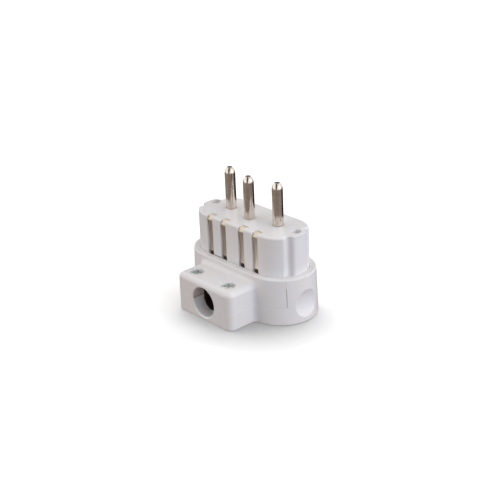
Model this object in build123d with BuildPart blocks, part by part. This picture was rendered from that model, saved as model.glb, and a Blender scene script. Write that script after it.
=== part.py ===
"""Five-pole three-phase plug: three round pins, two pairs of side contacts, side cable entry.

Millimetres. +X runs along the nose, the cable box points to -Y and the pins point to +Z.
The origin is on the underside, below the centre of the nose.
"""
import os
from math import asin, cos, degrees, radians, sin, tan

from build123d import *

os.makedirs("parts", exist_ok=True)

# Round-ended outlines of the nose and of the base, which share the centres of their ends
end_spacing = 34.9
nose_radius = 12.25
rim_width = 3.65
base_radius = nose_radius + rim_width
end_x = end_spacing / 2

# Heights above the underside
shoulder_height = 21.0
nose_height = 18.0
nose_top = shoulder_height + nose_height

# Housing: draft of the base and of the box and the most that an upright edge leans, edge rounds,
# wall and floor. The shares keep the two rounds on the step between box and shoulder apart.
draft = 1.8
box_draft = 0.5
upright_lean = 5.0
rim_round = 0.6
rim_share = 0.3
blend_share = 0.65
foot_round = 0.6
wall = 2.3
floor = 1.8
fit_gap = 0.15
seam_gap = 0.08

# Cable box on the front of the base
box_width = 34.9
box_reach = 30.35
box_height = 17.55
box_corner = 2.8
box_edge = 2.5
box_blend = 2.2
parting_height = 8.15
seam_reach = 9.0
inlet_radius = 6.75
inlet_lip = 0.5
inlet_lip_angle = 45.0
clamp_length = 6.0

# Finger grips on the two ends of the base
grip_height = 8.8
grip_reach = 6.2
grip_depth = 1.9
grip_sweep = 26.0

# Contact carrier: the nose and its skirt inside the base
skirt_depth = 3.7
carrier_bottom = shoulder_height - skirt_depth
nose_round = 0.9
nose_wall = 2.2
top_plate = 3.5
hollow_end = 3.5
hollow_reach = end_x + hollow_end
front_block = 5.2

# Grooves that set the two ears off from the ends of the nose, about a line turned a little to the back
groove_angle = 29.0
ear_turn = 3.0
groove_radius = 1.4
groove_depth = 2.0
groove_round = 1.5

# Slots for the side contacts, in two pairs
slot_width = 3.6
slot_depth = 3.45
slot_inner = 5.75
slot_pitch = 8.75
pair_x = slot_inner + slot_pitch / 2

# Phase pins: the outer two stand on a row just behind the middle of the nose
pin_diameter = 4.8
pin_length = 19.2
pin_round = 3.0
pin_flat = 2.3
pin_belly = 0.28
pin_collar = 5.4
pin_collar_sink = 0.1
pin_pitch = 15.05
pin_row = 1.25
pin_forward = 2.75
pin_gap = 0.1
pin_head_diameter = 8.4
pin_head_length = 10.0
pin_head_edge = 0.5
pin_seat_depth = 15.0
sleeve_diameter = 9.6
wire_hole = 3.2
wire_hole_edge = 2.4

# Side contacts: a bowed spring leg in each slot, rolled over at the top and stepped back at the foot
strip_thickness = 0.5
strip_side_gap = 0.1
bow_recess = 0.95
bow_height = 6.5
bow_radius = 61.0
roll_radius = 2.3
roll_below_top = 0.1
roll_end_angle = 71.0
knee_height = 1.3
knee_depth = 2.0
web_drop = 4.5
leg_overlap = 1.0
tab_width = 7.0
tab_length = 8.4

# Terminal screws and their clamping washers
terminal_shank = 3.3
terminal_shank_length = 5.0
terminal_head = 5.6
terminal_head_height = 2.0
terminal_slot = 0.8
washer_size = 6.6
washer_thickness = 0.8
thread_gap = 0.1

# Carrier screws, sunk deep in the ears, a little behind the row of the outer pins
ear_offset = 8.2
ear_back = 0.2
ear_reach = end_x + ear_offset
ear_hole = 4.5
ear_column = 7.6
column_bottom = 10.0
column_floor = 3.0
carrier_head = 4.0
carrier_head_height = 2.0
carrier_shank = 2.6
carrier_shank_length = 9.0

# Cover screws and their captive nuts
cover_screw_x = 10.2
cover_screw_inset = 6.1
cover_screw_reach = box_reach - cover_screw_inset
cover_boss = 7.4
cover_head = 6.1
cover_head_height = 2.2
cover_head_sink = 0.1
cover_head_gap = 0.1
cover_shank = 3.4
cover_shank_gap = 0.2
nut_flats = 6.0
nut_height = 2.4
nut_sink = 0.6
nut_gap = 0.1

# Cross recess, eased edge and tip of the cross-recessed screws, as shares of the head and the shank,
# and the turn at which they were tightened
recess_turn = 45.0
recess_span = 0.66
recess_width = 0.2
recess_depth = 0.6
head_edge = 0.33
shank_tip = 0.17

# Places worked out from the sizes above
pin_radius = pin_diameter / 2
pin_seat = nose_top - pin_seat_depth
pin_foot = pin_seat - pin_head_length
pin_tip = nose_top + pin_length
wire_height = pin_seat - wire_hole_edge - wire_hole / 2
nose_front = -nose_radius
web_bottom = carrier_bottom - web_drop
cover_seat = box_height - cover_head_sink - cover_head_height
cover_bottom = parting_height + seam_gap
nut_top = nut_sink + nut_height
column_seat = column_bottom + column_floor
tab_hole_y = nose_front + tab_length - tab_width / 2
far = 2 * (end_spacing + base_radius + box_reach)

slot_places = [side * x for side in (-1, 1) for x in (slot_inner, slot_inner + slot_pitch)]
ear_places = [(-ear_reach, pin_row + ear_back), (ear_reach, pin_row + ear_back)]
pin_places = {
    "left": (-pin_pitch, pin_row),
    "middle": (0, pin_row - pin_forward),
    "right": (pin_pitch, pin_row),
}
cover_screw_places = [(-cover_screw_x, -cover_screw_reach), (cover_screw_x, -cover_screw_reach)]
tab_places = [(-pair_x, tab_hole_y), (pair_x, tab_hole_y)]


def housing_form():
    """Outside of the base with its cable box, before it is parted into shell and cover."""
    step = shoulder_height - box_height
    with BuildPart() as box:
        with BuildSketch():
            with Locations((0, -box_reach / 2)):
                Rectangle(box_width, box_reach)
        extrude(amount=box_height, taper=box_draft)
        uprights = box.edges().filter_by(Axis.Z, tolerance=upright_lean)
        fillet(uprights.group_by(Axis.Y)[0], box_corner)
        upper = box.faces().sort_by(Axis.Z)[-1].edges().sort_by(Axis.Y)
        fillet(upper[:-1], box_edge)
    with BuildPart() as form:
        with BuildSketch():
            SlotCenterToCenter(end_spacing, 2 * base_radius)
        extrude(amount=shoulder_height, taper=draft)
        add(box.part)
        joint = form.edges(Select.NEW).filter_by(lambda e: e.center().Z > foot_round)
        fillet(joint, min(box_blend, blend_share * step))
        flats = form.faces().filter_by(Plane.XY).sort_by(Axis.Z)
        fillet(flats[-1].edges(), min(rim_round, rim_share * step))
        fillet(form.faces().filter_by(Plane.XY).sort_by(Axis.Z)[0].edges(), foot_round)
    return form.part


def cover_zone(gap):
    """Block above the parting plane and in front of the upright seams, set back by the gap."""
    depth = far - seam_reach - gap
    with BuildPart() as zone:
        with BuildSketch(Plane.XY.offset(parting_height + gap)):
            with Locations((0, -seam_reach - gap - depth / 2)):
                Rectangle(far, depth)
        extrude(amount=far)
    return zone.part


def inside_form():
    """Space inside the base and the cable box."""
    room_front = -(box_reach - clamp_length)
    with BuildPart() as inside:
        with BuildSketch(Plane.XY.offset(floor)):
            SlotCenterToCenter(end_spacing, 2 * (nose_radius + fit_gap))
        extrude(amount=far)
        with BuildSketch(Plane.XY.offset(floor)):
            with Locations((0, room_front / 2)):
                Rectangle(box_width - 2 * wall, -room_front)
        extrude(amount=box_height - wall - floor)
    return inside.part


def inlet_form():
    """Cable bore through the clamping block, with a lip eased at the front face."""
    face_reach = box_reach - parting_height * tan(radians(box_draft))
    with BuildPart() as inlet:
        with BuildSketch(Plane.XZ.offset(box_reach - clamp_length)):
            with Locations((0, parting_height)):
                Circle(inlet_radius)
        extrude(amount=far)
        with BuildSketch(Plane.XZ.offset(face_reach - inlet_lip)):
            with Locations((0, parting_height)):
                Circle(inlet_radius)
        extrude(amount=2 * inlet_lip, taper=-inlet_lip_angle)
    return inlet.part


def grip_form():
    """Pair of ring cutters whose outsides dish the two ends for finger and thumb."""
    curve = (grip_reach**2 + grip_depth**2) / (2 * grip_depth)
    end_wall = end_x + base_radius - grip_height * tan(radians(draft))
    ring_x = end_wall - grip_depth + grip_sweep
    with BuildPart() as grips:
        with Locations((-ring_x, 0, grip_height), (ring_x, 0, grip_height)):
            Torus(grip_sweep - curve, curve)
    return grips.part


def screw_form(head, head_height, shank, shank_length):
    """Cross-recessed screw, its head standing on the plane z = 0 and its shank below."""
    with BuildPart() as screw:
        Cylinder(head / 2, head_height, align=(Align.CENTER, Align.CENTER, Align.MIN))
        chamfer(screw.edges().group_by(Axis.Z)[-1], head_edge * head_height)
        Cylinder(shank / 2, shank_length, align=(Align.CENTER, Align.CENTER, Align.MAX))
        chamfer(screw.edges().group_by(Axis.Z)[0], shank_tip * shank)
        with BuildSketch(Plane.XY.offset(head_height)):
            Rectangle(recess_span * head, recess_width * head, rotation=recess_turn)
            Rectangle(recess_width * head, recess_span * head, rotation=recess_turn)
        extrude(amount=-recess_depth * head_height, mode=Mode.SUBTRACT)
    return screw.part


def terminal_screw_form():
    """Slotted terminal screw with its head below the plane z = 0 and its shank above."""
    with BuildPart() as screw:
        Cylinder(terminal_head / 2, terminal_head_height, align=(Align.CENTER, Align.CENTER, Align.MAX))
        Cylinder(terminal_shank / 2, terminal_shank_length, align=(Align.CENTER, Align.CENTER, Align.MIN))
        with Locations((0, 0, -terminal_head_height)):
            Box(terminal_head, terminal_slot, terminal_head_height, mode=Mode.SUBTRACT)
    return screw.part


def pin_form():
    """Turned phase pin on the Z axis: wire terminal, collar flush with the nose, shank and bullet tip."""
    tip_start = pin_tip - pin_round
    collar_top = nose_top - pin_collar_sink
    with BuildPart() as pin:
        with BuildSketch(Plane.XZ):
            with BuildLine():
                Polyline(
                    (0, pin_tip),
                    (0, pin_foot),
                    (pin_head_diameter / 2, pin_foot),
                    (pin_head_diameter / 2, pin_seat),
                    (pin_collar / 2, pin_seat),
                    (pin_collar / 2, collar_top),
                    (pin_radius, collar_top),
                    (pin_radius, tip_start),
                )
                SagittaArc((pin_radius, tip_start), (pin_flat / 2, pin_tip), -pin_belly)
                Line((pin_flat / 2, pin_tip), (0, pin_tip))
            make_face()
        revolve(axis=Axis.Z)
        chamfer(pin.edges().group_by(Axis.Z)[0], pin_head_edge)
        with BuildSketch(Plane.XY.offset(pin_foot)):
            Circle((terminal_shank + thread_gap) / 2)
        extrude(amount=wire_height - pin_foot, mode=Mode.SUBTRACT)
        with BuildSketch(Plane.XZ):
            with Locations((0, wire_height)):
                Circle(wire_hole / 2)
        extrude(amount=pin_head_diameter, both=True, mode=Mode.SUBTRACT)
    return pin.part


def contact_form(centre_x):
    """Stamped side contact about its middle: two spring legs, the web that joins them, and the tab."""
    bow_middle = shoulder_height + bow_height
    bow_front = nose_front + bow_recess - bow_radius
    bow_back = bow_radius + strip_thickness
    roll_reach = bow_radius + roll_radius
    roll_height = nose_top - roll_below_top - roll_radius
    lean = degrees(asin((roll_height - bow_middle) / roll_reach))
    roll_centre = (bow_front + roll_reach * cos(radians(lean)), roll_height)
    roll_turn = roll_end_angle - lean - 180
    knee_bottom = shoulder_height + knee_height
    knee_top = knee_bottom + strip_thickness
    knee_angle = degrees(asin((knee_bottom - bow_middle) / bow_radius))
    back_angle = degrees(asin((knee_top - bow_middle) / bow_back))
    leg_foot = carrier_bottom + leg_overlap
    leg_width = slot_width - 2 * strip_side_gap
    web_front = bow_front + bow_radius * cos(radians(knee_angle)) + knee_depth
    web_back = web_front + strip_thickness
    with BuildPart() as contact:
        with BuildSketch(Plane.YZ.offset(centre_x - slot_pitch / 2 - leg_width / 2)):
            with BuildLine():
                bow = CenterArc((bow_front, bow_middle), bow_radius, knee_angle, lean - knee_angle)
                back = CenterArc((bow_front, bow_middle), bow_back, back_angle, lean - back_angle)
                roll = CenterArc(roll_centre, roll_radius, lean + 180, roll_turn)
                inner = CenterArc(roll_centre, roll_radius - strip_thickness, lean + 180, roll_turn)
                Line(roll @ 1, inner @ 1)
                Polyline(
                    bow @ 0,
                    (web_front, knee_bottom),
                    (web_front, leg_foot),
                    (web_back, leg_foot),
                    (web_back, knee_top),
                    back @ 0,
                )
            make_face()
        leg = extrude(amount=leg_width)
        with Locations((slot_pitch, 0, 0)):
            add(leg)
        with BuildSketch(Plane.XZ.offset(-web_front)):
            for side in (-1, 1):
                with Locations((centre_x + side * slot_pitch / 2, (web_bottom + leg_foot) / 2)):
                    Rectangle(leg_width, leg_foot - web_bottom)
            with Locations((centre_x, (web_bottom + carrier_bottom) / 2)):
                Rectangle(slot_pitch, carrier_bottom - web_bottom)
        extrude(amount=-strip_thickness)
        with BuildSketch(Plane.XY.offset(web_bottom)):
            with Locations((centre_x, (web_front + nose_front + tab_length) / 2)):
                Rectangle(tab_width, nose_front + tab_length - web_front)
            with Locations((centre_x, tab_hole_y)):
                Circle((terminal_shank + thread_gap) / 2, mode=Mode.SUBTRACT)
        extrude(amount=strip_thickness)
    return contact.part


# Base shell: round-ended cup with the lower half of the cable box
housing = housing_form()
inside = inside_form()
inlet = inlet_form()
shell_zone = cover_zone(0)
grips = grip_form()
with BuildPart() as base_shell:
    add(housing)
    add(shell_zone, mode=Mode.SUBTRACT)
    add(inside, mode=Mode.SUBTRACT)
    with BuildSketch(Plane.XY.offset(floor)):
        with Locations(*ear_places):
            Circle(ear_column / 2)
    extrude(amount=column_bottom - floor)
    with BuildSketch(Plane.XY.offset(floor)):
        with Locations(*cover_screw_places):
            Circle(cover_boss / 2)
    extrude(amount=cover_bottom - floor)
    add(inlet, mode=Mode.SUBTRACT)
    add(grips, mode=Mode.SUBTRACT)
    with BuildSketch(Plane.XY.offset(column_bottom)):
        with Locations(*ear_places):
            Circle((carrier_shank + thread_gap) / 2)
    extrude(amount=-(carrier_shank_length - column_floor + thread_gap), mode=Mode.SUBTRACT)
    with BuildSketch(Plane.XY):
        with Locations(*cover_screw_places):
            Circle((cover_shank + cover_shank_gap) / 2)
    extrude(amount=far, mode=Mode.SUBTRACT)
    with BuildSketch(Plane.XY):
        with Locations(*cover_screw_places):
            RegularPolygon(nut_flats / 2 + nut_gap, 6, major_radius=False)
    extrude(amount=nut_top, mode=Mode.SUBTRACT)
base_shell.part.label = "base_shell"
export_step(base_shell.part, "parts/base_shell.step")

# Cable cover: upper half of the cable box with the front of the rim
lid_zone = cover_zone(seam_gap)
with BuildPart() as cable_cover:
    add(housing)
    add(lid_zone, mode=Mode.INTERSECT)
    add(inside, mode=Mode.SUBTRACT)
    with BuildSketch(Plane.XY.offset(cover_bottom)):
        with Locations(*cover_screw_places):
            Circle(cover_boss / 2)
    extrude(amount=cover_seat - cover_bottom)
    add(inlet, mode=Mode.SUBTRACT)
    with BuildSketch(Plane.XY.offset(cover_bottom)):
        with Locations(*cover_screw_places):
            Circle((cover_shank + cover_shank_gap) / 2)
    extrude(amount=far, mode=Mode.SUBTRACT)
    with BuildSketch(Plane.XY.offset(cover_seat)):
        with Locations(*cover_screw_places):
            Circle(cover_head / 2 + cover_head_gap)
    extrude(amount=far, mode=Mode.SUBTRACT)
cable_cover.part.label = "cable_cover"
export_step(cable_cover.part, "parts/cable_cover.step")

# Contact carrier: hollow nose with slots, pin sleeves and two ear columns
groove_reach = nose_radius + groove_radius - groove_depth
groove_turns = [radians(ear_turn - groove_angle), radians(ear_turn + groove_angle)]
groove_places = [
    (side * (end_x + groove_reach * cos(turn)), groove_reach * sin(turn))
    for side in (-1, 1) for turn in groove_turns
]
hollow_front = nose_front + front_block
hollow_back = nose_radius - nose_wall
hollow_top = nose_top - top_plate
with BuildPart() as contact_carrier:
    with BuildSketch(Plane.XY.offset(carrier_bottom)):
        SlotCenterToCenter(end_spacing, 2 * nose_radius)
    extrude(amount=skirt_depth)
    with BuildSketch(Plane.XY.offset(shoulder_height)) as outline:
        SlotCenterToCenter(end_spacing, 2 * nose_radius)
        with Locations(*groove_places):
            Circle(groove_radius, mode=Mode.SUBTRACT)
        corners = outline.vertices().filter_by(lambda v: abs(v.X) > end_x + groove_radius)
        fillet(corners, groove_round)
    extrude(amount=nose_height)
    fillet(contact_carrier.faces().sort_by(Axis.Z)[-1].edges(), nose_round)
    with BuildSketch(Plane.XY.offset(carrier_bottom)):
        with Locations((0, (hollow_front + hollow_back) / 2)):
            Rectangle(2 * hollow_reach, hollow_back - hollow_front)
    extrude(amount=hollow_top - carrier_bottom, mode=Mode.SUBTRACT)
    with BuildSketch(Plane.XY.offset(pin_seat)):
        with Locations(*pin_places.values()):
            Circle(sleeve_diameter / 2)
    extrude(amount=hollow_top - pin_seat)
    with BuildSketch(Plane.XY.offset(column_bottom)):
        with Locations(*ear_places):
            Circle(ear_column / 2)
    extrude(amount=hollow_top - column_bottom)
    with BuildSketch(Plane.XY.offset(carrier_bottom)):
        with Locations(*[(x, nose_front) for x in slot_places]):
            Rectangle(slot_width, 2 * slot_depth)
    extrude(amount=far, mode=Mode.SUBTRACT)
    with BuildSketch(Plane.XY.offset(pin_seat)):
        with Locations(*pin_places.values()):
            Circle((pin_collar + pin_gap) / 2)
    extrude(amount=far, mode=Mode.SUBTRACT)
    with BuildSketch(Plane.XY.offset(column_bottom)):
        with Locations(*ear_places):
            Circle((carrier_shank + thread_gap) / 2)
    extrude(amount=far, mode=Mode.SUBTRACT)
    with BuildSketch(Plane.XY.offset(column_seat)):
        with Locations(*ear_places):
            Circle(ear_hole / 2)
    extrude(amount=far, mode=Mode.SUBTRACT)
contact_carrier.part.label = "contact_carrier"
export_step(contact_carrier.part, "parts/contact_carrier.step")

# Phase pins, one node for each
pin = pin_form()
for side, (x, y) in pin_places.items():
    with BuildPart() as phase_pin:
        with Locations((x, y, 0)):
            add(pin)
    phase_pin.part.label = f"phase_pin_{side}"
    export_step(phase_pin.part, f"parts/phase_pin_{side}.step")

# Side contacts: neutral on the left, earth on the right
for pole, centre_x in (("neutral", -pair_x), ("earth", pair_x)):
    contact = contact_form(centre_x)
    with BuildPart() as side_contact:
        add(contact)
    side_contact.part.label = f"{pole}_contact"
    export_step(side_contact.part, f"parts/{pole}_contact.step")

# Clamping washers under the tabs of the side contacts
for pole, place in zip(("neutral", "earth"), tab_places):
    with BuildPart() as washer:
        with BuildSketch(Plane.XY.offset(web_bottom)):
            with Locations(place):
                Rectangle(washer_size, washer_size)
                Circle((terminal_shank + thread_gap) / 2, mode=Mode.SUBTRACT)
        extrude(amount=-washer_thickness)
    washer.part.label = f"{pole}_washer"
    export_step(washer.part, f"parts/{pole}_washer.step")

# Terminal screws: one below each pin, and one below each washer
terminal_screw = terminal_screw_form()
with BuildPart() as terminal_screws:
    with Locations(*[(x, y, pin_foot) for x, y in pin_places.values()]):
        add(terminal_screw)
    with Locations(*[(x, y, web_bottom - washer_thickness) for x, y in tab_places]):
        add(terminal_screw)
terminal_screws.part.label = "terminal_screws"
export_step(terminal_screws.part, "parts/terminal_screws.step")

# Carrier screws
carrier_screw = screw_form(carrier_head, carrier_head_height, carrier_shank, carrier_shank_length)
with BuildPart() as carrier_screws:
    with Locations(*[(x, y, column_seat) for x, y in ear_places]):
        add(carrier_screw)
carrier_screws.part.label = "carrier_screws"
export_step(carrier_screws.part, "parts/carrier_screws.step")

# Cover screws
cover_screw = screw_form(cover_head, cover_head_height, cover_shank, cover_seat - nut_sink)
with BuildPart() as cover_screws:
    with Locations(*[(x, y, cover_seat) for x, y in cover_screw_places]):
        add(cover_screw)
cover_screws.part.label = "cover_screws"
export_step(cover_screws.part, "parts/cover_screws.step")

# Captive nuts in the underside of the shell
with BuildPart() as cover_nuts:
    with BuildSketch(Plane.XY.offset(nut_sink)):
        with Locations(*cover_screw_places):
            RegularPolygon(nut_flats / 2, 6, major_radius=False)
            Circle((cover_shank + thread_gap) / 2, mode=Mode.SUBTRACT)
    extrude(amount=nut_height)
cover_nuts.part.label = "cover_nuts"
export_step(cover_nuts.part, "parts/cover_nuts.step")
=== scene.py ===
"""Looks of the three-phase plug: moulded white housing, nickel-plated pins, spring contacts and screws.

Metres, in the frame of the solids: +X along the nose, -Y towards the cable box, +Z along the pins.
"""
import math

import bmesh
import bpy
from mathutils import Matrix, Vector


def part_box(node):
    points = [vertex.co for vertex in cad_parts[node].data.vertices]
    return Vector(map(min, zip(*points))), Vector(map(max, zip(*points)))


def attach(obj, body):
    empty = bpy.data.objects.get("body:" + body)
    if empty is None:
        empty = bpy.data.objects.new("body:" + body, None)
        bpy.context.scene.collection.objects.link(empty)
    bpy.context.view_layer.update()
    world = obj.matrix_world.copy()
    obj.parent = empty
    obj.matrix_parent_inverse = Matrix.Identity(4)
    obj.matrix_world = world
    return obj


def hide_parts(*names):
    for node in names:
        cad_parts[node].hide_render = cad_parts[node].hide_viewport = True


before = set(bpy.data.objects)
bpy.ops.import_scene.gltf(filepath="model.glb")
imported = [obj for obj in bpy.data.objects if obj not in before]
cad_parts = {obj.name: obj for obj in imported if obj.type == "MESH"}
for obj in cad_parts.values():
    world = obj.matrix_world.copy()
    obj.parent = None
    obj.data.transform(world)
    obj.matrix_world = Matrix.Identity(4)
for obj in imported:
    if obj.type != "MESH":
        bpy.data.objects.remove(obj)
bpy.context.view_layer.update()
MM = 0.001

# Levels of the frame that the shades keep to, in millimetres: the tops of the nose and of the housing, and
# the parting line and the seam of the cable cover
NOSE_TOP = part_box("contact_carrier")[1][2] / MM
HOUSING_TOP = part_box("base_shell")[1][2] / MM
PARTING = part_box("cable_cover")[0][2] / MM
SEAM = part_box("cable_cover")[1][1] / MM

# Camera: the point it looks at, its angles in degrees, its distance, its lens and sensor in millimetres,
# the shift of the picture, and the nearest distance that it sees
CAMERA_TARGET = Vector((0, 0.5 * MM, 28.8 * MM))
CAMERA_AZIMUTH = 48.20
CAMERA_ELEVATION = 23.23
CAMERA_ROLL = -2.20
CAMERA_DISTANCE = 460 * MM
CAMERA_LENS = 75.24
CAMERA_SENSOR = 36
CAMERA_SHIFT = (-0.0078, -0.0243)
CAMERA_NEAR = 10 * MM

# Lights: the point that both look at, their size, and each one's place, power in watts and colour.
# The fill's angles are degrees round from the camera towards the picture's right, and above the horizon
LIGHT_TARGET = Vector((0, 0, 30 * MM))
LIGHT_SIZE = 0.40
SOFTBOX_PLACE = Vector((0.64, 0.18, 0.27))
SOFTBOX_POWER = 1.08
SOFTBOX_COLOUR = (0.94, 0.945, 1.0)
FILL_ANGLES = (40, 17)
FILL_DISTANCE = 0.7
FILL_POWER = 0.65
FILL_COLOUR = (0.28, 0.58, 1.0)

# Floor: its size, tone and glow, the reach and slope of its soft shadow, and the shadow's darkest tone
FLOOR_SIZE = 8.0
FLOOR_TONE = 0.86
FLOOR_GLOW = 0.43
SHADOW_REACH = 32 * MM
SHADOW_SLOPE = 27
SHADOW_TONE = 0.10

# Surround: where the table's tone ends and the sky begins, as shares of the height from straight down to
# straight up, the strengths of the table, the horizon and the zenith, and their colours
TABLE_END = 0.45
HORIZON_START = 0.53
TABLE_STRENGTH = 0.34
HORIZON_STRENGTH = 1.40
ZENITH_STRENGTH = 0.90
TABLE_COLOUR = (1.0, 0.85, 0.77)
SKY_COLOUR = (1.0, 0.98, 0.965)

# Darker and brighter patches of the surround: degrees round from the camera towards the picture's right,
# degrees above the horizon, radius in degrees, and the share of the light in the middle
PATCHES = (
    (102, -22, 17, 0.04),
    (124, -22, 20, 0.10),
    (150, -22, 24, 0.15),
    (-24, 8, 18, 0.05),
    (-24, 29, 24, 0.03),
    (-24, 50, 26, 0.03),
    (180, 23, 24, 0.12),
    (-80, 40, 62, 1.14),
    (-15, -23, 50, 0.84),
)

# Spans that the values of a noise keep to, for soft and for crisper changes
NOISE_SPAN = (0.3, 0.7)
CRISP_SPAN = (0.35, 0.65)

# White plastic: its colours, their shares where the clouding is warm and where it is cool, the sizes of the
# clouding, of the uneven gloss and of the orange peel, the peel's depth, and the least and most roughness
HOUSING_WHITE = (0.78, 0.765, 0.77)
CARRIER_WHITE = (0.78, 0.77, 0.78)
WARM_SHARES = (1.0, 0.985, 0.97)
COOL_SHARES = (0.985, 0.99, 1.0)
CLOUD_SIZE = 14 * MM
GLOSS_SIZE = 6 * MM
PEEL_SIZE = 1.6 * MM
PEEL_DEPTH = 0.004 * MM
PLASTIC_ROUGHNESS = (0.29, 0.36)
PLASTIC_IOR = 1.5

# Duller edge round the top of the nose: a box in millimetres, and the roughness added in it
DULL_EDGE = ((-33.0, -15.0, NOSE_TOP - 1.1), (33.0, 15.0, NOSE_TOP - 0.02))
DULL_EDGE_ROUGHNESS = 0.22

# Pins: light and dark nickel, the size of the stains, the size, stretch and depth of the rings from the
# lathe, and the least and most roughness
PIN_LIGHT = (0.69, 0.63, 0.57)
PIN_DARK = (0.60, 0.53, 0.47)
STAIN_SIZE = 2.5 * MM
RING_SIZE = 0.10 * MM
RING_STRETCH = (0.05, 0.05, 1)
RING_DEPTH = 0.0012 * MM
PIN_ROUGHNESS = (0.136, 0.192)

# Collars of the pins, paled with painted light against the dark ring at their feet, and duller: a box in
# millimetres, the shares of the colour, and the roughness added
COLLARS = ((-20.0, -10.0, NOSE_TOP - 9.0), (20.0, 10.0, NOSE_TOP - 0.06))
COLLAR_LIGHT_SHARES = (1.35, 1.40, 1.45)
COLLAR_ROUGHNESS = 0.45

# Spring strips: heights of the foot and of the bend in millimetres, the shares of that height between which
# they are darker, their colours (a foot paled with a painted reflection, the darker band, and a bend paled
# with painted light), and their roughness up to there and on the bend
STRIP_LEVELS = (HOUSING_TOP + 1.0, NOSE_TOP)
DARK_BAND_SPAN = (0.75, 0.93)
STRIP_FOOT = (0.72, 0.655, 0.57)
STRIP_DARK_BAND = (0.55, 0.48, 0.40)
STRIP_BEND = (0.86, 0.78, 0.68)
STRIP_ROUGHNESS = (0.30, 0.60)

# Streaks along the strips: size, stretch, shares of the colour in a dark and in a light streak, and the
# least and most share of the roughness
STREAK_SIZE = 0.5 * MM
STREAK_STRETCH = (1, 1, 0.06)
STREAK_SHARES = ((0.92, 0.91, 0.90), (1.0, 1.0, 1.0))
STREAK_ROUGHNESS = (1.0, 1.1)

# Painted reflection on the strips' feet along the nose, brighter on some strips and darker on others: places
# in millimetres, and the share of the colour there
FOOT_PAINTED_REFLECTION = ((-11.8, 0.94), (-4.4, 0.78), (4.4, 0.87), (11.8, 1.27))

# Zinc plate: dull and bright grey, the sizes of the blotches, of the uneven gloss and of the grain, the
# grain's depth, and the least and most roughness
ZINC_DULL = (0.58, 0.61, 0.60)
ZINC_BRIGHT = (0.88, 0.91, 0.90)
BLOTCH_SIZE = 0.9 * MM
ZINC_GLOSS_SIZE = 0.5 * MM
GRAIN_SIZE = 0.12 * MM
GRAIN_DEPTH = 0.004 * MM
ZINC_ROUGHNESS = (0.30, 0.46)

# Eased edges: their widths, their segments, how far large faces rule the normals, the angles that count as
# sharp and as flat, and the distance within which points are welded
MOULDED_EDGE = 0.15 * MM
NOSE_EDGE = 0.06 * MM
STAMPED_EDGE = 0.08 * MM
TURNED_EDGE = 0.10 * MM
EDGE_SEGMENTS = 2
FACE_WEIGHT = 60
SHARP_ANGLE = math.radians(30)
FLAT_ANGLE = math.radians(0.4)
WELD_DISTANCE = 0.002 * MM

# Screws: sizes that the boxes of their nodes don't give, and the thread
COVER_HEAD_HEIGHT = 2.2 * MM
COVER_SHANK_RADIUS = 1.7 * MM
CARRIER_HEAD_HEIGHT = 2.0 * MM
CARRIER_SHANK_RADIUS = 1.3 * MM
TERMINAL_HEAD_RADIUS = 2.8 * MM
TERMINAL_HEAD_HEIGHT = 2.0 * MM
TERMINAL_SHANK_RADIUS = 1.65 * MM
TERMINAL_LENGTH = 7.0 * MM
THREAD_PITCH = 0.7 * MM
THREAD_DEPTH = 0.28 * MM

# Crown and slot as shares of a head's radius, cross as shares of its width, the turn of the cross, and the
# depth of slot and cross as a share of the head's height
CROWN_SHARE = 0.12
SLOT_SPAN = 2.2
SLOT_WIDTH = 0.2
CROSS_SPAN = 0.66
CROSS_WIDTH = 0.2
CROSS_TURN = math.radians(45)
RECESS_DEPTH = 0.5

# Meshes of the screws: faces round the head, rings up its side and over its ends, faces round the shank,
# rings along it, the power by which the crown falls off, and the least radius in the sum for the thread
HEAD_FACES = 48
HEAD_RINGS = 3
CROWN_RINGS = 6
SHANK_FACES = 20
SHANK_RINGS = 120
CROWN_POWER = 3.0
THREAD_CORE = 0.01 * MM

# Places of the three pins, and the poles of the two pairs of side contacts
PIN_SIDES = ("left", "middle", "right")
POLES = ("neutral", "earth")


def both_ends(low, high, shares):
    """Box of colour shares at the plug's +X end (painted shade where under one, painted light where over),
    and the same in its mirror image at the other end.
    """
    return (low, high, shares), ((-high[0], *low[1:]), (-low[0], *high[1:]), shares)


# Painted shade and light on the mouldings: low and high corner of a box in millimetres, and the shares of the
# colour in it
HOUSING_PAINTED_SHADES = (
    # painted shade: the walls of the wiring room darkened almost to black
    ((-15.1, -24.3, 1.7), (15.1, 12.0, 15.2), (0.11, 0.045, 0.035)),
    # painted shade on the roof of the cable hole, painted light on its floor, and a painted shadow line along
    # the parting line in it
    ((-7.0, -30.2, PARTING - 0.03), (7.0, -24.3, 15.0), (0.80, 0.74, 0.72)),
    ((-7.0, -30.2, 1.0), (7.0, -24.3, PARTING - 0.03), (1.03, 1.06, 1.09)),
    ((-7.0, -30.2, PARTING - 0.28), (-5.5, -24.3, PARTING + 0.07), (0.40, 0.34, 0.32)),
    # painted shadow along the seams, and a painted highlight along the parting lines
    *both_ends((26.0, SEAM - 0.14, PARTING - 0.03), (33.0, SEAM + 0.22, 17.0), (0.72, 0.70, 0.70)),
    *both_ends((7.2, -31.0, PARTING - 0.33), (33.0, SEAM + 0.08, PARTING - 0.01), (1.15, 1.15, 1.15)),
)
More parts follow.
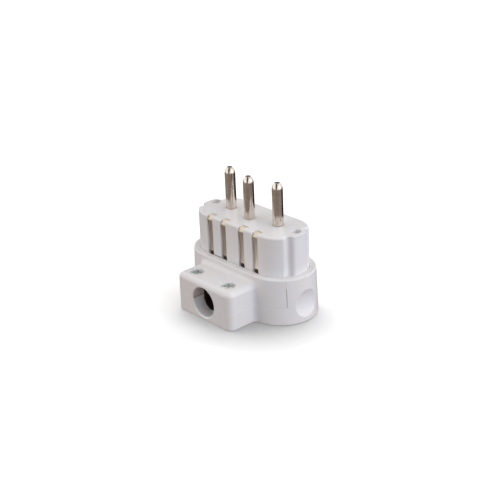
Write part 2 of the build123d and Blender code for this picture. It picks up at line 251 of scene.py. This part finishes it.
CARRIER_PAINTED_SHADES = (
    # painted shade in the feet of the slots, and a painted shadow in a gap at the foot of the nose
    ((-20.0, -11.0, HOUSING_TOP - 2.0), (20.0, -7.0, HOUSING_TOP + 2.5), (0.46, 0.37, 0.29)),
    ((-12.6, -13.5, HOUSING_TOP - 0.2), (-7.6, -11.0, HOUSING_TOP + 0.35), (0.42, 0.36, 0.34)),
    # painted light in the holes of the ears, and painted shade on the rims of the ears that dims their
    # highlight
    *both_ends((23.35, -0.85, NOSE_TOP - 9.0), (27.95, 3.75, NOSE_TOP - 0.03), (1.20, 1.20, 1.18)),
    *both_ends((24.0, -5.1, NOSE_TOP - 1.1), (33.0, 6.2, NOSE_TOP - 0.02), (0.87, 0.87, 0.86)),
)


def new_object(name, mesh):
    """Object at the origin that shows a finished mesh."""
    piece = bpy.data.objects.new(name, mesh)
    bpy.context.scene.collection.objects.link(piece)
    return piece


def baked(piece):
    """Replace a piece's mesh by what its modifiers make of it, and take the modifiers off."""
    depsgraph = bpy.context.evaluated_depsgraph_get()
    mesh = bpy.data.meshes.new_from_object(piece.evaluated_get(depsgraph))
    piece.modifiers.clear()
    piece.data = mesh
    return piece


def eased_copy(node, name, edge):
    """Welded copy of a solid's mesh with eased edges and smooth shading."""
    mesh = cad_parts[node].data.copy()
    welded = bmesh.new()
    welded.from_mesh(mesh)
    bmesh.ops.remove_doubles(welded, verts=welded.verts, dist=WELD_DISTANCE)
    bmesh.ops.dissolve_limit(welded, angle_limit=FLAT_ANGLE, verts=welded.verts, edges=welded.edges)
    for face in welded.faces:
        face.smooth = True
    welded.to_mesh(mesh)
    welded.free()
    mesh.materials.clear()
    piece = new_object(name, mesh)
    bevel = piece.modifiers.new("eased edges", "BEVEL")
    bevel.width = edge
    bevel.segments = EDGE_SEGMENTS
    bevel.limit_method = "ANGLE"
    bevel.angle_limit = SHARP_ANGLE
    bevel.use_clamp_overlap = True
    normals = piece.modifiers.new("flat faces stay flat", "WEIGHTED_NORMAL")
    normals.keep_sharp = True
    normals.weight = FACE_WEIGHT
    return baked(piece)


def finished(piece, material, node):
    """Give a piece its material, hide the solid of the node that it stands in for, and hang it on the root
    body.
    """
    piece.data.materials.clear()
    piece.data.materials.append(material)
    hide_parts(node)
    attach(piece, "root")


def scaled(colour, shares):
    """Colour with each channel times its share."""
    return tuple(channel * share for channel, share in zip(colour, shares))


class Works:
    """A node tree under construction, with short ways to add nodes and link them."""

    def __init__(self, tree):
        self.tree = tree

    def add(self, kind, inputs=None, **settings):
        """New node with its settings, and with its inputs linked or set by name."""
        node = self.tree.nodes.new(kind)
        for name, value in settings.items():
            setattr(node, name, value)
        for name, value in (inputs or {}).items():
            self.put(value, node.inputs[name])
        return node

    def put(self, value, socket):
        """Link a socket, or each socket of a list, or set a plain value."""
        for item in value if isinstance(value, list) else [value]:
            if isinstance(item, bpy.types.NodeSocket):
                self.tree.links.new(item, socket)
            else:
                socket.default_value = item

    def math(self, operation, *values):
        """Result of a math node."""
        node = self.add("ShaderNodeMath", operation=operation)
        for socket, value in zip(node.inputs, values):
            self.put(value, socket)
        return node.outputs[0]

    def vector(self, x=0.0, y=0.0, z=0.0):
        """Vector of three coordinates."""
        return self.add("ShaderNodeCombineXYZ", {"X": x, "Y": y, "Z": z}).outputs[0]

    def split(self, vector):
        """The three coordinates of a vector."""
        return self.add("ShaderNodeSeparateXYZ", {"Vector": vector}).outputs

    def remap(self, value, start, end, low=0.0, high=1.0):
        """Low where a value is at the start or before it, high at the end or past it, even between them."""
        inputs = {"Value": value, "From Min": start, "From Max": end, "To Min": low, "To Max": high}
        return self.add("ShaderNodeMapRange", inputs).outputs["Result"]

    def ramp(self, factor, *stops):
        """Colour ramp through (position, colour) stops."""
        node = self.add("ShaderNodeValToRGB", {"Fac": factor})
        elements = node.color_ramp.elements
        while len(elements) < len(stops):
            elements.new(0.5)
        for element, (position, colour) in zip(elements, stops):
            element.position = position
            element.color = (*colour, 1)
        return node.outputs["Color"]


class Finish(Works):
    """A material under construction, on the coordinates of the piece that it covers."""

    def __init__(self, name):
        self.material = bpy.data.materials.new(name)
        self.material.use_nodes = True
        super().__init__(self.material.node_tree)
        self.shader = self.tree.nodes["Principled BSDF"]
        self.place = self.add("ShaderNodeTexCoord").outputs["Object"]

    def noise(self, size, detail, stretch=(1, 1, 1)):
        """Noise whose features are about one size, longer along an axis whose stretch is under one."""
        place = self.add("ShaderNodeMapping", {"Vector": self.place, "Scale": stretch}).outputs[0]
        inputs = {"Vector": place, "Scale": 1 / size, "Detail": detail}
        return self.add("ShaderNodeTexNoise", inputs).outputs["Fac"]

    def multiply(self, factor, first, second):
        """First colour, multiplied by the second as far as the factor says."""
        inputs = {"Fac": factor, "Color1": first, "Color2": second}
        return self.add("ShaderNodeMixRGB", inputs, blend_type="MULTIPLY").outputs["Color"]

    def within(self, low, high):
        """One inside a box of millimetres, nought outside it."""
        low, high = Vector(low) * MM, Vector(high) * MM
        box = {"Vector": self.place, "Location": (low + high) / 2, "Scale": (high - low) / 2}
        shares = self.add("ShaderNodeMapping", box, vector_type="TEXTURE").outputs[0]
        sides = self.add("ShaderNodeVectorMath", {"Vector": shares}, operation="ABSOLUTE").outputs[0]
        x, y, z = self.split(sides)
        return self.math("LESS_THAN", self.math("MAXIMUM", x, self.math("MAXIMUM", y, z)), 1.0)

    def bump(self, height, distance):
        """Normal of a surface that the height raises by up to a distance."""
        return self.add("ShaderNodeBump", {"Height": height, "Distance": distance}).outputs["Normal"]

    def feed(self, **sockets):
        """Set the shader's sockets by name, with underscores for spaces."""
        for name, value in sockets.items():
            self.put(value, self.shader.inputs[name.replace("_", " ")])
        return self.material


def moulded_white(name, tint, shades):
    """Semi-gloss white plastic: faint flow clouding, fine orange peel, uneven gloss, and boxes of painted
    shade and light.
    """
    finish = Finish(name)
    clouds = finish.noise(CLOUD_SIZE, detail=1)
    warm, cool = scaled(tint, WARM_SHARES), scaled(tint, COOL_SHARES)
    colour = finish.ramp(clouds, *zip(CRISP_SPAN, (warm, cool)))
    # painted shade and light, one box at a time
    for low, high, shares in shades:
        colour = finish.multiply(finish.within(low, high), colour, (*shares, 1))
    gloss = finish.remap(finish.noise(GLOSS_SIZE, detail=1), *NOISE_SPAN, *PLASTIC_ROUGHNESS)
    gloss = finish.math("MULTIPLY_ADD", finish.within(*DULL_EDGE), DULL_EDGE_ROUGHNESS, gloss)
    peel = finish.bump(finish.noise(PEEL_SIZE, detail=1), PEEL_DEPTH)
    return finish.feed(Base_Color=colour, Roughness=gloss, Normal=peel, IOR=PLASTIC_IOR)


def nickel_plate(name):
    """Bright nickel on turned brass: fine rings from the lathe, faint stains, and duller collars paled with
    painted light.
    """
    finish = Finish(name)
    stains = finish.noise(STAIN_SIZE, detail=2)
    colour = finish.ramp(stains, *zip(CRISP_SPAN, (PIN_DARK, PIN_LIGHT)))
    collar = finish.within(*COLLARS)
    # painted light on the collars
    colour = finish.multiply(collar, colour, (*COLLAR_LIGHT_SHARES, 1))
    rings = finish.noise(RING_SIZE, detail=2, stretch=RING_STRETCH)
    polish = finish.remap(rings, *NOISE_SPAN, *PIN_ROUGHNESS)
    polish = finish.math("MULTIPLY_ADD", collar, COLLAR_ROUGHNESS, polish)
    turned = finish.bump(rings, RING_DEPTH)
    return finish.feed(Base_Color=colour, Roughness=polish, Normal=turned, Metallic=1.0)


def spring_strip(name):
    """Dull nickel on stamped brass: streaked, a foot paled by painted reflection, darker higher up, and
    painted light on the bend.
    """
    finish = Finish(name)
    along, _, height = finish.split(finish.place)
    rise = finish.remap(height, *(level * MM for level in STRIP_LEVELS))
    start, end = DARK_BAND_SPAN
    # painted reflection at the foot, a darker band higher up, and painted light on the bend
    tones = (0.0, STRIP_FOOT), (start, STRIP_DARK_BAND), (end, STRIP_DARK_BAND), (1.0, STRIP_BEND)
    colour = finish.ramp(rise, *tones)
    # painted reflection at the feet, brighter on some strips and darker on others
    painted_foot = finish.remap(rise, 0.0, start, 1.0, 0.0)
    first, last = FOOT_PAINTED_REFLECTION[0][0], FOOT_PAINTED_REFLECTION[-1][0]
    row = finish.remap(along, first * MM, last * MM)
    feet = [((place - first) / (last - first), 3 * [share]) for place, share in FOOT_PAINTED_REFLECTION]
    colour = finish.multiply(painted_foot, colour, finish.ramp(row, *feet))
    streaks = finish.noise(STREAK_SIZE, detail=2, stretch=STREAK_STRETCH)
    colour = finish.multiply(1.0, colour, finish.ramp(streaks, *zip(NOISE_SPAN, STREAK_SHARES)))
    dull = finish.remap(rise, end, 1.0, *STRIP_ROUGHNESS)
    gloss = finish.math("MULTIPLY", finish.remap(streaks, *NOISE_SPAN, *STREAK_ROUGHNESS), dull)
    return finish.feed(Base_Color=colour, Roughness=gloss, Metallic=1.0)


def zinc_plate(name):
    """Dull zinc on steel: blotchy cool grey, with uneven gloss and a fine grain."""
    finish = Finish(name)
    blotches = finish.noise(BLOTCH_SIZE, detail=5)
    colour = finish.ramp(blotches, *zip(NOISE_SPAN, (ZINC_DULL, ZINC_BRIGHT)))
    gloss = finish.remap(finish.noise(ZINC_GLOSS_SIZE, detail=3), *NOISE_SPAN, *ZINC_ROUGHNESS)
    grain = finish.bump(finish.noise(GRAIN_SIZE, detail=2), GRAIN_DEPTH)
    return finish.feed(Base_Color=colour, Roughness=gloss, Normal=grain, Metallic=1.0)


housing_white = moulded_white("white moulded housing", HOUSING_WHITE, HOUSING_PAINTED_SHADES)
carrier_white = moulded_white("white moulded carrier", CARRIER_WHITE, CARRIER_PAINTED_SHADES)
pin_nickel = nickel_plate("bright nickel pin")
strip_nickel = spring_strip("dull nickel spring strip")
screw_zinc = zinc_plate("zinc plated steel")


class ScrewTree(Works):
    """Geometry nodes that set a threaded, recessed screw on every point of a mesh, its head on the point."""

    SIZES = ("Head Radius", "Head Height", "Crown", "Shank Radius", "Shank Length", "Thread Pitch",
             "Thread Depth", "Recess Span", "Recess Width", "Recess Depth", "Cross Span")

    def __init__(self):
        super().__init__(bpy.data.node_groups.new("recessed screws", "GeometryNodeTree"))
        sockets = self.tree.interface
        sockets.new_socket("Points", in_out="INPUT", socket_type="NodeSocketGeometry")
        for name in self.SIZES:
            sockets.new_socket(name, in_out="INPUT", socket_type="NodeSocketFloat")
        sockets.new_socket("Turn", in_out="INPUT", socket_type="NodeSocketVector")
        sockets.new_socket("Finish", in_out="INPUT", socket_type="NodeSocketMaterial")
        sockets.new_socket("Screws", in_out="OUTPUT", socket_type="NodeSocketGeometry")
        self.given = self.add("NodeGroupInput").outputs
        halves = {"Geometry": [self.head(), self.shank()]}
        screw = self.add("GeometryNodeJoinGeometry", halves).outputs[0]
        places = {"Points": self.given["Points"], "Instance": screw, "Rotation": self.given["Turn"]}
        copies = self.add("GeometryNodeInstanceOnPoints", places).outputs[0]
        real = self.add("GeometryNodeRealizeInstances", {"Geometry": copies}).outputs[0]
        smooth = self.add("GeometryNodeSetShadeSmooth", {"Geometry": real}).outputs[0]
        angle = self.add("GeometryNodeInputMeshEdgeAngle").outputs["Unsigned Angle"]
        folds = self.math("GREATER_THAN", angle, SHARP_ANGLE)
        creased = {"Geometry": smooth, "Selection": folds, "Shade Smooth": False}
        creased = self.add("GeometryNodeSetShadeSmooth", creased, domain="EDGE").outputs[0]
        done = {"Geometry": creased, "Material": self.given["Finish"]}
        done = self.add("GeometryNodeSetMaterial", done).outputs[0]
        self.add("NodeGroupOutput", {"Screws": done})

    def points(self):
        """Coordinates of the points and their distance from the axis."""
        x, y, z = self.split(self.add("GeometryNodeInputPosition").outputs[0])
        squares = self.math("ADD", self.math("MULTIPLY", x, x), self.math("MULTIPLY", y, y))
        return x, y, z, self.math("SQRT", squares)

    def head(self):
        """Crowned head above the point, with a slot or a cross cut in its top."""
        given = self.given
        form = {"Vertices": HEAD_FACES, "Side Segments": HEAD_RINGS, "Fill Segments": CROWN_RINGS,
                "Radius": given["Head Radius"], "Depth": given["Head Height"]}
        blank = self.add("GeometryNodeMeshCylinder", form, fill_type="TRIANGLE_FAN").outputs["Mesh"]
        _, _, z, reach = self.points()
        share = self.math("DIVIDE", reach, given["Head Radius"])
        drop = self.math("MULTIPLY", given["Crown"], self.math("POWER", share, CROWN_POWER))
        upper = self.math("MULTIPLY", drop, self.math("GREATER_THAN", z, 0.0))
        lift = self.math("SUBTRACT", self.math("MULTIPLY", given["Head Height"], 0.5), upper)
        crowned = {"Geometry": blank, "Offset": self.vector(z=lift)}
        crowned = self.add("GeometryNodeSetPosition", crowned).outputs[0]
        deep = self.math("MULTIPLY", given["Recess Depth"], 2.0)
        width = given["Recess Width"]
        arms = []
        for across, along in ((given["Recess Span"], width), (width, given["Cross Span"])):
            arm = self.add("GeometryNodeMeshCube", {"Size": self.vector(across, along, deep)})
            raised = {"Geometry": arm.outputs["Mesh"], "Translation": self.vector(z=given["Head Height"])}
            arms.append(self.add("GeometryNodeTransform", raised).outputs[0])
        cut = {"Mesh 1": crowned, "Mesh 2": arms}
        cut = self.add("GeometryNodeMeshBoolean", cut, operation="DIFFERENCE", solver="EXACT")
        return cut.outputs["Mesh"]

    def shank(self):
        """Shank below the point, its surface drawn in along a helix."""
        given = self.given
        form = {"Vertices": SHANK_FACES, "Side Segments": SHANK_RINGS,
                "Radius": given["Shank Radius"], "Depth": given["Shank Length"]}
        rod = self.add("GeometryNodeMeshCylinder", form).outputs["Mesh"]
        x, y, z, reach = self.points()
        turn = self.math("DIVIDE", self.math("ARCTAN2", y, x), 2 * math.pi)
        phase = self.math("SUBTRACT", self.math("DIVIDE", z, given["Thread Pitch"]), turn)
        root = self.math("MULTIPLY", self.math("PINGPONG", phase, 0.5), 2.0)
        depth = self.math("MULTIPLY", self.math("MULTIPLY", root, given["Thread Depth"]), -1.0)
        share = self.math("DIVIDE", depth, self.math("MAXIMUM", reach, THREAD_CORE))
        sink = self.math("MULTIPLY", given["Shank Length"], -0.5)
        offset = self.vector(self.math("MULTIPLY", x, share), self.math("MULTIPLY", y, share), sink)
        return self.add("GeometryNodeSetPosition", {"Geometry": rod, "Offset": offset}).outputs[0]


screw_tree = ScrewTree().tree


def screws(name, node, places, **sizes):
    """Set of screws on a list of places, made by the screw tree, in place of a node of the frame."""
    mesh = bpy.data.meshes.new(name)
    mesh.from_pydata(places, [], [])
    piece = new_object(name, mesh)
    modifier = piece.modifiers.new("screws", "NODES")
    modifier.node_group = screw_tree
    inputs = {"thread_pitch": THREAD_PITCH, "thread_depth": THREAD_DEPTH, "finish": screw_zinc, **sizes}
    for socket in screw_tree.interface.items_tree:
        key = socket.name.replace(" ", "_").lower()
        if socket.in_out == "INPUT" and key in inputs:
            modifier[socket.identifier] = inputs[key]
    finished(baked(piece), screw_zinc, node)


def cross_screws(name, node, head_height, shank_radius):
    """Pair of cross-recessed screws, with the places and lengths that the node's box gives."""
    low, high = (Vector(corner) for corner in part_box(node))
    radius = (high.y - low.y) / 2
    seat = high.z - head_height
    middle = (low.y + high.y) / 2
    places = [(low.x + radius, middle, seat), (high.x - radius, middle, seat)]
    span = CROSS_SPAN * 2 * radius
    screws(
        name, node, places,
        head_radius=radius, head_height=head_height, crown=CROWN_SHARE * radius,
        shank_radius=shank_radius, shank_length=seat - low.z,
        recess_span=span, recess_width=CROSS_WIDTH * 2 * radius,
        recess_depth=RECESS_DEPTH * head_height, cross_span=span,
        turn=(0, 0, CROSS_TURN),
    )


def terminal_screws():
    """Slotted screws that stand head down below the pins and the clamping washers."""
    places = []
    for node in [f"phase_pin_{side}" for side in PIN_SIDES] + [f"{pole}_washer" for pole in POLES]:
        low, high = (Vector(corner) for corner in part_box(node))
        places.append(((low.x + high.x) / 2, (low.y + high.y) / 2, low.z))
    radius = TERMINAL_HEAD_RADIUS
    width = SLOT_WIDTH * radius
    screws(
        "terminal_slotted_screws", "terminal_screws", places,
        head_radius=radius, head_height=TERMINAL_HEAD_HEIGHT, crown=CROWN_SHARE * radius,
        shank_radius=TERMINAL_SHANK_RADIUS, shank_length=TERMINAL_LENGTH - TERMINAL_HEAD_HEIGHT,
        recess_span=SLOT_SPAN * radius, recess_width=width,
        recess_depth=RECESS_DEPTH * TERMINAL_HEAD_HEIGHT, cross_span=width,
        turn=(math.pi, 0, 0),
    )


def dressed(node, name, edge, material):
    """Eased copy of a solid, finished, in place of its node."""
    finished(eased_copy(node, name, edge), material, node)


dressed("base_shell", "base_moulding", MOULDED_EDGE, housing_white)
dressed("cable_cover", "cover_moulding", MOULDED_EDGE, housing_white)
dressed("contact_carrier", "nose_moulding", NOSE_EDGE, carrier_white)
for side in PIN_SIDES:
    dressed(f"phase_pin_{side}", f"turned_pin_{side}", TURNED_EDGE, pin_nickel)
for pole in POLES:
    dressed(f"{pole}_contact", f"{pole}_spring_strips", STAMPED_EDGE, strip_nickel)
    dressed(f"{pole}_washer", f"{pole}_clamp_washer", STAMPED_EDGE, screw_zinc)
dressed("cover_nuts", "captive_nuts", STAMPED_EDGE, screw_zinc)
cross_screws("cover_cross_screws", "cover_screws", COVER_HEAD_HEIGHT, COVER_SHANK_RADIUS)
cross_screws("carrier_cross_screws", "carrier_screws", CARRIER_HEAD_HEIGHT, CARRIER_SHANK_RADIUS)
terminal_screws()


def heading(turn, elevation):
    """Direction, in degrees round from the camera towards the picture's right, and above the horizon."""
    turn, elevation = math.radians(CAMERA_AZIMUTH + turn), math.radians(elevation)
    level = math.cos(elevation)
    return Vector((math.sin(turn) * level, -math.cos(turn) * level, math.sin(elevation)))


def stage_floor():
    """Pale floor that shows the soft shadow.

    Reflections and bounced light don't see it, and take the table's tone of the surround instead.
    """
    half = FLOOR_SIZE / 2
    mesh = bpy.data.meshes.new("floor")
    corners = [(-half, -half, 0), (half, -half, 0), (half, half, 0), (-half, half, 0)]
    mesh.from_pydata(corners, [], [(0, 1, 2, 3)])
    floor = new_object("floor", mesh)
    finish = Finish("pale floor")
    cast = {"Distance": SHADOW_REACH, "Normal": finish.vector(*heading(180, SHADOW_SLOPE))}
    openness = finish.add("ShaderNodeAmbientOcclusion", cast).outputs["AO"]
    tone = finish.ramp(openness, (0.0, 3 * [SHADOW_TONE]), (1.0, 3 * [FLOOR_TONE]))
    finish.feed(Base_Color=tone, Roughness=1.0, Specular_IOR_Level=0.0)
    finish.feed(Emission_Color=tone, Emission_Strength=FLOOR_GLOW)
    mesh.materials.append(finish.material)
    floor.visible_glossy = False
    floor.visible_diffuse = False


def stage_sky():
    """Soft studio surround: bright at the horizon, dimmer above, a brown table's tone below, and patches."""
    world = bpy.data.worlds.new("studio surround")
    bpy.context.scene.world = world
    world.use_nodes = True
    works = Works(world.node_tree)
    direction = works.add("ShaderNodeTexCoord").outputs["Generated"]
    _, _, rise = works.split(direction)
    table = scaled(TABLE_COLOUR, 3 * [TABLE_STRENGTH])
    horizon = scaled(SKY_COLOUR, 3 * [HORIZON_STRENGTH])
    zenith = scaled(SKY_COLOUR, 3 * [ZENITH_STRENGTH])
    height = works.remap(rise, -1.0, 1.0)
    tone = works.ramp(height, (TABLE_END, table), (HORIZON_START, horizon), (1.0, zenith))
    light = 1.0
    for turn, elevation, radius, share in PATCHES:
        facing = works.add("ShaderNodeVectorMath", operation="DOT_PRODUCT")
        works.put(direction, facing.inputs[0])
        works.put(heading(turn, elevation), facing.inputs[1])
        outer, inner = math.cos(math.radians(radius)), math.cos(math.radians(radius / 2))
        patch = works.remap(facing.outputs["Value"], outer, inner, 1.0, share)
        light = works.math("MULTIPLY", light, patch)
    background = world.node_tree.nodes["Background"]
    works.put(tone, background.inputs["Color"])
    works.put(light, background.inputs["Strength"])


def area_light(name, place, power, colour):
    """Square soft light that looks at the plug."""
    lamp = bpy.data.lights.new(name, "AREA")
    lamp.size = LIGHT_SIZE
    lamp.energy = power
    lamp.color = colour
    light = bpy.data.objects.new(name, lamp)
    bpy.context.scene.collection.objects.link(light)
    light.location = place
    light.rotation_euler = (LIGHT_TARGET - place).to_track_quat("-Z", "Y").to_euler()
    return light


def stage_lights():
    """Softbox on the right, and a cool fill that doesn't show in reflections."""
    area_light("right softbox", SOFTBOX_PLACE, SOFTBOX_POWER, SOFTBOX_COLOUR)
    fill = area_light("cool fill", heading(*FILL_ANGLES) * FILL_DISTANCE, FILL_POWER, FILL_COLOUR)
    fill.visible_glossy = False


def stage_camera():
    """Camera at the photograph's viewing angle."""
    back = heading(0, CAMERA_ELEVATION)
    level = heading(90, 0)
    upright = back.cross(level)
    roll = math.radians(CAMERA_ROLL)
    right = level * math.cos(roll) + upright * math.sin(roll)
    up = upright * math.cos(roll) - level * math.sin(roll)
    lens = bpy.data.cameras.new("camera")
    lens.lens = CAMERA_LENS
    lens.sensor_width = CAMERA_SENSOR
    lens.shift_x, lens.shift_y = CAMERA_SHIFT
    lens.clip_start = CAMERA_NEAR
    camera = bpy.data.objects.new("camera", lens)
    bpy.context.scene.collection.objects.link(camera)
    turn = Matrix((right, up, back)).transposed()
    camera.matrix_world = Matrix.Translation(CAMERA_TARGET + back * CAMERA_DISTANCE) @ turn.to_4x4()
    bpy.context.scene.camera = camera


stage_floor()
stage_sky()
stage_lights()
stage_camera()
bpy.context.scene.view_settings.view_transform = "Standard"
